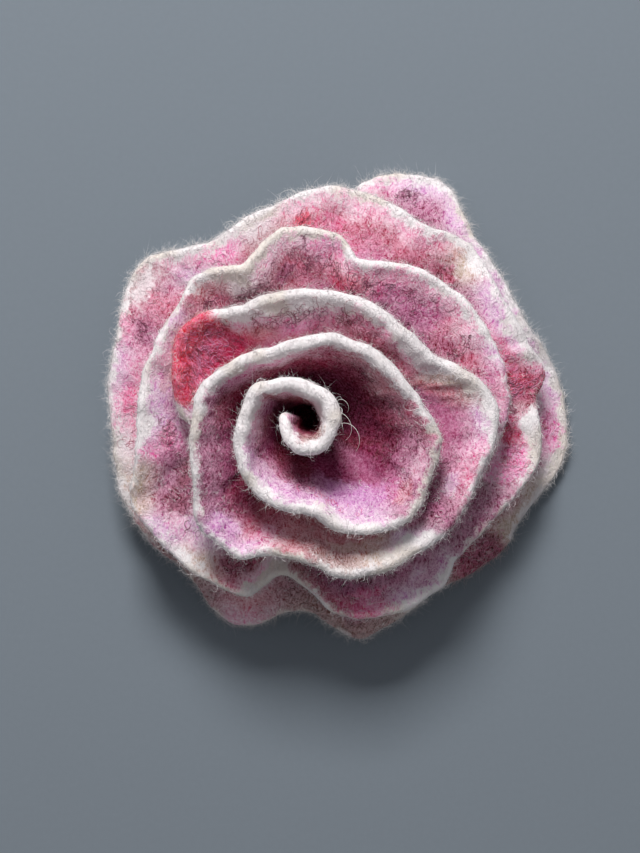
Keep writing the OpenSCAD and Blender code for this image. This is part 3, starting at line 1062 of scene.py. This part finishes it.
def lock_lines(shell, rows, colours, seed, felt):
    """Curly locks on the felt: each is a line whose heading turns steadily and swings from side
    to side, laid on the shell by its distance along and from the rim."""
    rng = np.random.default_rng(seed)
    points = 15
    parts = []
    for turn, distance, half_length, half_width, name, number, curl in rows:
        spread = rng.normal(0, 0.5, (number, 2)).clip(-1.1, 1.1)
        along = turn_to_along(shell, turn) + spread[:, 0] * half_length
        down = distance + ROUND_OF_RIM + spread[:, 1] * half_width
        radius = curl * rng.uniform(0.5, 1.4, number)
        parts.append((along, down, radius, np.tile(colours[name], (number, 1))))
    along, down, radius, tint = (np.concatenate(column) for column in zip(*parts))
    count = len(along)
    t = np.linspace(0, 1, points)[None, :]
    sweep = rng.uniform(1.5, 6.5, (count, 1)) * rng.choice([-1, 1], (count, 1))
    swing = rng.uniform(0, 1.6, (count, 1)) * np.sin(
        2 * np.pi * (t * rng.uniform(0.6, 1.8, (count, 1)) + rng.uniform(0, 1, (count, 1)))
    )
    heading = rng.uniform(0, 2 * np.pi, (count, 1)) + sweep * t + swing
    step = (radius * np.abs(sweep[:, 0]) / points)[:, None]
    step = np.clip(step, 0.09, 0.42)
    run_x = along[:, None] + np.cumsum(np.cos(heading), 1) * step
    run_down = down[:, None] + np.cumsum(np.sin(heading), 1) * step
    run_x = np.clip(run_x, 0.3, shell.along[-1] - 0.3)
    run_down = np.maximum(run_down, 0.2)
    turn = np.interp(run_x.ravel(), shell.along, shell.turn)
    place, face = on_felt(shell, turn, run_down.ravel())
    place = place.reshape(count, points, 3)
    face = face.reshape(count, points, 3)
    lift = 0.02 + rng.uniform(0, 0.22, (count, 1)) * np.sin(np.pi * t) ** 2
    lines = place + face * lift[..., None]
    width = felt.lock / MM / 2 * rng.uniform(0.55, 1.1, count)
    tint = toward(tint * rng.uniform(0.8, 1.15, (count, 1)), colours["blush"], 0.13)
    return lines, width, face[:, points // 2], np.clip(tint, 0, 1)


def hair_lines(shells, rows, seed):
    """Single long hairs: a line that leaves the felt and coils slowly as it goes."""
    rng = np.random.default_rng(seed)
    points = 26
    lines = []
    sides = []
    for strip, turn, distance, reach, lean_along, lean_out in rows:
        shell = shells[strip]
        place, face = on_felt(shell, np.array([turn, turn + 1.0]), np.array([distance, distance]))
        ahead = unit(place[1] - place[0])
        up = np.cross(ahead, face[0])
        t = np.linspace(0, 1, points)[:, None]
        bend = rng.uniform(2.0, 4.0) * rng.choice([-1, 1])
        angle = bend * t
        start = unit(ahead * lean_along + face[0] * lean_out)
        turned = unit(np.cross(start, up))
        heading = start * np.cos(angle) + turned * np.sin(angle) + up * 0.12 * np.sin(3 * t)
        line = place[0] + np.cumsum(heading, 0) * reach / points
        line[:, 2] = np.maximum(line[:, 2], HAIR_ABOVE_FLOOR)
        lines.append(line)
        sides.append(up)
    count = len(lines)
    tint = np.tile([HAIR_COLOUR], (count, 1))
    return np.array(lines), np.full(count, HAIR_RADIUS), np.array(sides), tint


def stitch_lines():
    """The threads of the stitches: two side by side from each hole round each long edge."""
    route = np.array(STITCH)
    corners = np.arange(len(route))
    t = np.linspace(0, corners[-1], 26)
    y, z = (np.interp(t, corners, route[:, k]) for k in (0, 1))
    lines = []
    for hole in HOLES:
        for side in (-1, 1):
            for shift in (-0.22, 0.22):
                x = hole + shift * (0.4 + t / t[-1])
                lines.append(np.stack([x, y * side, z], 1) + AXIS)
    return np.array(lines)


def feed(tree, made, inputs):
    """Sets a node's inputs or links them, by name or number."""
    for name, value in inputs.items():
        if isinstance(value, bpy.types.NodeSocket):
            tree.links.new(value, made.inputs[name])
        else:
            made.inputs[name].default_value = value


def node(tree, kind, inputs=None, **values):
    """A shader node with its settings and its inputs."""
    made = tree.nodes.new(kind)
    for name, value in values.items():
        setattr(made, name, value)
    feed(tree, made, inputs or {})
    return made


def new_group(name, inputs, outputs):
    """An empty shader group with named sockets, and its input and output nodes."""
    group = bpy.data.node_groups.new(name, "ShaderNodeTree")
    for label, kind, default in inputs:
        socket = group.interface.new_socket(label, in_out="INPUT", socket_type=kind)
        if default is not None:
            socket.default_value = default
    for label, kind in outputs:
        group.interface.new_socket(label, in_out="OUTPUT", socket_type=kind)
    return group, group.nodes.new("NodeGroupInput"), group.nodes.new("NodeGroupOutput")


def blended(tree, factor, first, second, blend="MIX"):
    """The second colour laid over the first, as thickly as factor says."""
    inputs = {0: factor, 6: first, 7: second}
    return node(tree, "ShaderNodeMix", inputs, data_type="RGBA", blend_type=blend).outputs[2]


def maths(tree, operation, *values):
    """The operation on one value, or on several from left to right."""
    first = dict(enumerate(values[:2]))
    result = node(tree, "ShaderNodeMath", first, operation=operation).outputs[0]
    for value in values[2:]:
        result = maths(tree, operation, result, value)
    return result


def stretched(tree, value, low, high, to_low=0.0, to_high=1.0, way="SMOOTHSTEP"):
    """A value taken from one range to another and held at its ends."""
    inputs = {"Value": value, "From Min": low, "From Max": high, "To Min": to_low, "To Max": to_high}
    return node(tree, "ShaderNodeMapRange", inputs, interpolation_type=way).outputs["Result"]


def shifted(tree, place, by):
    """A place moved by a vector."""
    return node(tree, "ShaderNodeVectorMath", {0: place, 1: by}, operation="ADD").outputs[0]


def cloudy(tree, place, scale, detail, output="Fac", **more):
    """Noise about one half; more names further inputs of its node."""
    inputs = {"Vector": place, "Scale": scale, "Detail": detail, **more}
    return node(tree, "ShaderNodeTexNoise", inputs).outputs[output]


def painted(tree, name):
    """Outputs of an attribute that is written on the points of a piece."""
    return node(tree, "ShaderNodeAttribute", attribute_name=name).outputs


def place_on(tree):
    """The place on the piece, in its object's own metres."""
    return node(tree, "ShaderNodeTexCoord").outputs["Object"]


def bumped(tree, height, strength, distance):
    """The normal that a height tilts, with its distance in millimetres."""
    inputs = {"Height": height, "Strength": strength, "Distance": distance * MM}
    return node(tree, "ShaderNodeBump", inputs).outputs["Normal"]


def new_material(name):
    """A plain material with its tree and its shader."""
    material = bpy.data.materials.new(name)
    material.use_nodes = True
    return material, material.node_tree, material.node_tree.nodes["Principled BSDF"]


def strands_group():
    """Thin curly lines: the places where a noise passes through its middle value, broken up
    where a second noise is low. Size is the distance between curls, and Width the share of it
    that a line covers."""
    group, start, end = new_group(
        "Wool strands",
        [
            ("Vector", "NodeSocketVector", None),
            ("Size", "NodeSocketFloat", 0.001),
            ("Width", "NodeSocketFloat", 0.05),
            ("Curl", "NodeSocketFloat", 1.0),
        ],
        [("Lines", "NodeSocketFloat")],
    )
    place, size, width, curl = (start.outputs[name] for name in ("Vector", "Size", "Width", "Curl"))
    scale = maths(group, "DIVIDE", 1.0, size)
    pattern = cloudy(group, place, scale, 1.0, Roughness=0.45, Distortion=curl)
    away = maths(group, "ABSOLUTE", maths(group, "SUBTRACT", pattern, 0.5))
    line = stretched(group, away, 0.0, width, 1.0, 0.0)
    gaps = cloudy(group, shifted(group, place, (0.37, 0.11, 0.53)), scale, 0.0)
    lines = maths(group, "MULTIPLY", line, stretched(group, gaps, 0.38, 0.52))
    feed(group, end, {"Lines": lines})
    return group


def felt_group(strands):
    """Colour and height of felt: dyed wool that clouds and fibres make darker and paler, tufts
    laid on it and the cream rim over both, whose edges follow the clouds and the fibres."""
    group, start, end = new_group(
        "Felted fibres",
        [
            ("Vector", "NodeSocketVector", None),
            ("Dye", "NodeSocketColor", (0.5, 0.2, 0.3, 1)),
            ("Tuft", "NodeSocketColor", (0.5, 0.2, 0.3, 1)),
            ("Tuft cover", "NodeSocketFloat", 0.0),
            ("Inside tuft", "NodeSocketFloat", -1.0),
            ("From cream", "NodeSocketFloat", 1.0),
            ("Cream", "NodeSocketColor", (0.85, 0.82, 0.78, 1)),
            ("Pale", "NodeSocketColor", (0.85, 0.75, 0.8, 1)),
            ("Mottle", "NodeSocketFloat", 1.0),
        ],
        [("Color", "NodeSocketColor"), ("Height", "NodeSocketFloat")],
    )
    given = start.outputs
    place = given["Vector"]
    mottle = given["Mottle"]

    def times(*values):
        return maths(group, "MULTIPLY", *values)

    def plus(*values):
        return maths(group, "ADD", *values)

    def stretch(*values):
        return stretched(group, *values)

    def moved(by):
        return shifted(group, place, (by, 2 * by, -by))

    def clouds(size, shift, detail=4.0):
        return cloudy(group, moved(shift), 1 / (size * MM), detail, Roughness=0.62)

    def lines(size, width, curl, shift):
        inputs = {"Vector": moved(shift), "Size": size * MM, "Width": width, "Curl": curl}
        return node(group, "ShaderNodeGroup", inputs, node_tree=strands).outputs["Lines"]

    def laid(angle, shift):
        """Straight fibres along one direction, bent by the shared warp."""
        narrow = 1 / (FIBRE_APART * MM)
        inputs = {
            "Vector": warped,
            "Location": (shift, 2 * shift, -shift),
            "Rotation": (0.35, -0.35, angle),
            "Scale": (narrow, 1 / (FIBRE_LONG * MM), narrow),
        }
        turned = node(group, "ShaderNodeMapping", inputs).outputs["Vector"]
        return cloudy(group, turned, 1.0, 1.0, Roughness=0.4)

    bent = {0: cloudy(group, place, 1 / (2.4 * MM), 1.0, "Color"), "Scale": 2.6 * MM}
    bent = node(group, "ShaderNodeVectorMath", bent, operation="SCALE").outputs[0]
    warped = shifted(group, place, bent)
    top = maths(group, "MAXIMUM", laid(1.35, 7.3), laid(2.4, 13.1), laid(0.3, 0.5))
    fibres = stretch(top, 0.46, 0.76)
    between = maths(group, "SUBTRACT", 1.0, stretch(top, 0.36, 0.62))
    small = lines(0.9, 0.09, 1.4, 0.013)
    medium = lines(1.5, 0.06, 1.8, 0.031)
    long = lines(2.6, 0.035, 2.4, 0.057)
    dark_lines = lines(1.9, 0.05, 2.2, 0.083)
    wander = clouds(2.8, 0.11)
    speckle = clouds(1.5, 0.17)
    fine = clouds(0.45, 0.23, 2.0)
    marked = plus(times(mottle, 0.7), 0.3)
    # Layers laid over a dye one after the other: how thickly, and whether they are its dark wool
    layers = [
        (times(stretch(speckle, 0.52, 0.36), marked, 0.9), True),
        (times(stretch(wander, 0.48, 0.60), mottle, 0.55), False),
        (times(dark_lines, mottle, 0.55), True),
        (times(between, marked, 0.7), True),
        (times(medium, marked, 0.85), False),
        (times(fibres, marked, 0.8), False),
        (times(small, marked, 0.5), False),
        (times(stretch(fine, 0.50, 0.66), 0.34), False),
        (times(stretch(fine, 0.46, 0.32), 0.42), True),
    ]
    paleness = plus(times(mottle, 0.2), 0.12)

    def dappled(colour):
        dark = node(group, "ShaderNodeGamma", {"Color": colour, "Gamma": 2.1}).outputs[0]
        dark = {"Color": dark, "Saturation": 1.35}
        dark = node(group, "ShaderNodeHueSaturation", dark).outputs[0]
        bright = node(group, "ShaderNodeGamma", {"Color": colour, "Gamma": 0.5}).outputs[0]
        pale = blended(group, paleness, bright, given["Pale"])
        mixed = colour
        for share, is_dark in layers:
            mixed = blended(group, share, mixed, dark if is_dark else pale)
        return mixed

    frayed = maths(group, "SUBTRACT", plus(given["Inside tuft"], times(speckle, 2.4)), 1.2)
    cover = times(stretch(frayed, -0.15, 0.4), given["Tuft cover"])
    colour = blended(group, cover, dappled(given["Dye"]), dappled(given["Tuft"]))
    edge = plus(given["From cream"], times(wander, 9.0))
    edge = maths(group, "SUBTRACT", edge, times(medium, 0.6), times(fibres, 0.6), 4.1)
    rim = stretch(edge, 1.2, -0.9)
    shaded = blended(group, 1.0, given["Cream"], (0.82, 0.73, 0.74, 1), "MULTIPLY")
    cream = blended(group, times(stretch(speckle, 0.5, 0.3), 0.2), given["Cream"], shaded)
    cream = blended(group, times(between, 0.45), cream, shaded)
    warm = times(stretch(clouds(11.0, 0.41, 1.0), 0.48, 0.62), 0.6)
    cream = blended(group, warm, cream, (0.80, 0.74, 0.62, 1), "MULTIPLY")
    colour = blended(group, rim, colour, cream)
    colour = blended(group, times(long, mottle, 0.4), colour, given["Cream"])
    height = plus(times(speckle, 1.2), times(medium, 0.8))
    height = times(height, stretch(rim, 0.0, 1.0, 1.0, 0.35))
    height = plus(height, times(small, 0.4), times(fibres, 0.8))
    feed(group, end, {"Color": colour, "Height": height})
    return group


def felt_material(wools):
    """Felted wool: the dyes of the piece, with fibres in its colour and its bump."""
    material, tree, shader = new_material("Felted wool")
    tuft = painted(tree, "tuft")
    felt = node(
        tree,
        "ShaderNodeGroup",
        {
            "Vector": place_on(tree),
            "Dye": painted(tree, "dye")["Color"],
            "Tuft": tuft["Color"],
            "Tuft cover": tuft["Alpha"],
            "Inside tuft": painted(tree, "inside_tuft")["Fac"],
            "From cream": painted(tree, "from_cream")["Fac"],
            "Cream": (*wools.cream, 1),
            "Pale": (*wools.blush, 1),
            "Mottle": painted(tree, "mottle")["Fac"],
        },
        node_tree=felt_group(strands_group()),
    ).outputs
    normal = bumped(tree, felt["Height"], 0.6, 0.15)
    feed(tree, shader, {"Base Color": felt["Color"], "Normal": normal})
    feed(tree, shader, {"Roughness": 0.95, "Specular IOR Level": 0.03})
    return material


def fibre_material():
    """Loose wool fibres: the colour of each, with small streaks along it."""
    material, tree, shader = new_material("Loose wool fibres")
    dye = painted(tree, "dye")["Color"]
    streaks = cloudy(tree, place_on(tree), 1 / (0.4 * MM), 1.0)
    share = stretched(tree, streaks, 0.3, 0.7, 0.0, 0.5, "LINEAR")
    bright = node(tree, "ShaderNodeGamma", {"Color": dye, "Gamma": 0.75}).outputs[0]
    feed(tree, shader, {"Base Color": blended(tree, share, dye, bright)})
    feed(tree, shader, {"Roughness": 0.8, "Specular IOR Level": 0.08})
    return material


def steel_material(back):
    """Nickel-plated steel: a bright plate with drawn lines along it and light scratches."""
    material, tree, shader = new_material("Nickel-plated steel")
    place = place_on(tree)
    drawn = node(tree, "ShaderNodeMapping", {"Vector": place, "Scale": (0.06, 1.0, 1.0)})
    lines = cloudy(tree, drawn.outputs["Vector"], 9000.0, 3.0)
    wear = cloudy(tree, place, 420.0, 5.0)
    rough = stretched(tree, wear, 0.3, 0.7, 0.2, 0.42, "LINEAR")
    dull = tuple(0.72 * x for x in back.steel)
    colour = blended(tree, wear, (*back.steel, 1), (*dull, 1))
    normal = bumped(tree, lines, 0.25, 0.02)
    feed(tree, shader, {"Base Color": colour, "Roughness": rough, "Normal": normal, "Metallic": 1.0})
    return material


def thread_material(back):
    """Sewing thread: plies that wind round it, as bands slanted across its length."""
    material, tree, shader = new_material("Sewing thread")
    place = node(tree, "ShaderNodeUVMap", uv_map="OFBake").outputs["UV"]
    bands = {"Vector": place, "Scale": 40.0, "Distortion": 0.6, "Detail": 1.0}
    bands = node(tree, "ShaderNodeTexWave", bands, bands_direction="DIAGONAL").outputs["Fac"]
    dull = tuple(0.7 * x for x in back.thread)
    colour = blended(tree, bands, (*dull, 1), (*back.thread, 1))
    normal = bumped(tree, bands, 0.5, 0.05)
    feed(tree, shader, {"Base Color": colour, "Normal": normal, "Roughness": 0.7})
    return material


def floor_material(stage):
    """Matt paper: one colour with a faint grain."""
    material, tree, shader = new_material("Pale paper")
    grain = cloudy(tree, place_on(tree), 900.0, 4.0)
    darker = tuple(0.94 * x for x in stage.floor)
    feed(tree, shader, {"Base Color": blended(tree, grain, (*darker, 1), (*stage.floor, 1))})
    feed(tree, shader, {"Roughness": 0.9, "Specular IOR Level": 0.2})
    return material


STRIPS = {
    "heart": SimpleNamespace(
        rim=HEART_RIM,
        dye=HEART_DYE_AND_SHADING,
        tufts=HEART_TUFTS,
        locks=HEART_LOCKS,
        sections=640,
        calm=0.9,
        fuzz_pieces=1,
        strays=1300,
        seed=101,
        flat=(0.025, 0.25),
    ),
    "outer": SimpleNamespace(
        rim=OUTER_RIM,
        dye=OUTER_DYE_AND_SHADING,
        tufts=OUTER_TUFTS,
        locks=OUTER_LOCKS,
        sections=880,
        calm=0.1,
        fuzz_pieces=2,
        strays=2300,
        seed=202,
        flat=(0.030, 0.40),
    ),
}


def strip_shell(name):
    """The shell of a strip with its colours."""
    wools, felt, _, _ = settings()
    strip = STRIPS[name]
    colours = {key: np.array(getattr(wools, key)) for key in BroochWool.__annotations__}
    shell = felt_shell(strip.rim, strip.sections, POINTS_UP, felt)
    laid = lay_colours(shell, strip.dye, strip.tufts, colours, strip.calm)
    return strip, shell, laid, colours


class BROOCH_OT_felt(bpy.types.Operator):
    """Make the two felt strips"""

    bl_idname = "brooch.felt"
    bl_label = "Felt strips"

    def execute(self, context):
        wools = settings()[0]
        material = felt_material(wools)
        for name in STRIPS:
            _, shell, laid, _ = strip_shell(name)
            made = shell_object(f"{name}_felt", shell, laid, material)
            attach(made, "root")
            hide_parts(f"{name}_strip")
        return {"FINISHED"}


class BROOCH_OT_fibres(bpy.types.Operator):
    bl_idname = "brooch.fibres"
    bl_label = "Fibres"

    def execute(self, context):
        felt = settings()[1]
        material = fibre_material()
        shells = {}
        for name in STRIPS:
            strip, shell, laid, colours = strip_shell(name)
            shells[name] = shell
            top = outer_colour(laid, colours)
            parts = strip.fuzz_pieces
            fibres = fuzz_lines(shell, top, parts * FUZZ_IN_A_PIECE, strip.seed, felt)
            pieces = []
            for part in range(parts):
                some = [np.array_split(values, parts)[part] for values in fibres]
                pieces.append(fibres_object(f"{name}_fuzz_{part + 1}", *some, material))
            strays = stray_lines(shell, top, strip.strays, strip.seed + 3, felt)
            pieces.append(fibres_object(f"{name}_strays", *strays, material))
            locks = lock_lines(shell, strip.locks, colours, strip.seed + 1, felt)
            if name == "heart":
                wad = wad_lines(colours, strip.seed + 2, felt)
                locks = [np.concatenate(pair) for pair in zip(locks, wad)]
            pieces.append(fibres_object(f"{name}_locks", *locks, material))
            for made in pieces:
                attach(made, "root")
        hairs = fibres_object("single_hairs", *hair_lines(shells, HAIRS, HAIR_SEED), material)
        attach(hairs, "root")
        return {"FINISHED"}


class BROOCH_OT_back(bpy.types.Operator):
    """Finish the brooch back and sew it to the felt"""

    bl_idname = "brooch.back"
    bl_label = "Brooch back"

    def execute(self, context):
        back = settings()[2]
        steel = steel_material(back)
        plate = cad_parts["bar_pin"]
        plate.data.materials.clear()
        plate.data.materials.append(steel)
        lines = stitch_lines()
        radius = np.full(len(lines), back.thread_thickness / MM / 2)
        side = np.tile([1.0, 0.0, 0.0], (len(lines), 1))
        tint = np.tile(back.thread, (len(lines), 1))
        made = fibres_object("stitches", lines, radius, side, tint, thread_material(back), sides=8)
        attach(made, "root")
        return {"FINISHED"}


class BROOCH_OT_stage(bpy.types.Operator):
    """Make the floor, the light and the camera"""

    bl_idname = "brooch.stage"
    bl_label = "Stage"

    def execute(self, context):
        stage = settings()[3]
        corners = np.array([[-1, -1, 0], [1, -1, 0], [1, 1, 0], [-1, 1, 0]]) * FLOOR_SIDE / 2
        floor = put_mesh("floor", corners, [[0, 1, 2, 3]], floor_material(stage))
        world = bpy.data.worlds.new("Soft room")
        context.scene.world = world
        world.use_nodes = True
        background = world.node_tree.nodes["Background"]
        background.inputs["Color"].default_value = (0.96, 0.97, 1.0, 1)
        background.inputs["Strength"].default_value = stage.fill
        lamp = bpy.data.lights.new("Window", "AREA")
        lamp.shape = "RECTANGLE"
        lamp.size, lamp.size_y = LAMP_SIZE
        lamp.energy = stage.window
        lamp.color = (1.0, 0.985, 0.97)
        window = bpy.data.objects.new("Window", lamp)
        window.location = LAMP_AT
        window.rotation_mode = "QUATERNION"
        window.rotation_quaternion = (-window.location).to_track_quat("-Z", "Y")
        context.scene.collection.objects.link(window)
        camera = bpy.data.cameras.new("Camera")
        camera.lens = LENS
        camera.sensor_width = 36.0
        camera.clip_start = 0.01
        camera.clip_end = 10.0
        eye = bpy.data.objects.new("Camera", camera)
        eye.location = CAMERA_AT
        context.scene.collection.objects.link(eye)
        context.scene.camera = eye
        context.scene.view_settings.view_transform = "Standard"
        return {"FINISHED"}


class BROOCH_PT_panel(bpy.types.Panel):
    """The brooch's settings and steps"""

    bl_label = "Flower brooch"
    bl_space_type = "VIEW_3D"
    bl_region_type = "UI"
    bl_category = "Brooch"

    def draw(self, context):
        layout = self.layout
        for group in settings():
            box = layout.box()
            for name in type(group).__annotations__:
                box.prop(group, name)
        for operator in OPERATORS:
            layout.operator(operator.bl_idname)


GROUPS = {
    "brooch_wool": BroochWool,
    "brooch_felt": BroochFelt,
    "brooch_back": BroochBack,
    "brooch_stage": BroochStage,
}
OPERATORS = (BROOCH_OT_felt, BROOCH_OT_fibres, BROOCH_OT_back, BROOCH_OT_stage)


def register():
    """Registers the classes and puts the settings on the scene."""
    for made in (*GROUPS.values(), *OPERATORS, BROOCH_PT_panel):
        bpy.utils.register_class(made)
    for name, group in GROUPS.items():
        setattr(bpy.types.Scene, name, bpy.props.PointerProperty(type=group))


def unregister():
    """Takes the settings and the classes away again."""
    for name in GROUPS:
        delattr(bpy.types.Scene, name)
    for made in (BROOCH_PT_panel, *reversed(OPERATORS), *reversed(GROUPS.values())):
        bpy.utils.unregister_class(made)


def main():
    register()
    for step in (bpy.ops.brooch.felt, bpy.ops.brooch.fibres, bpy.ops.brooch.back, bpy.ops.brooch.stage):
        if step() != {"FINISHED"}:
            raise RuntimeError("a step didn't finish")


if __name__ == "__main__":
    main()
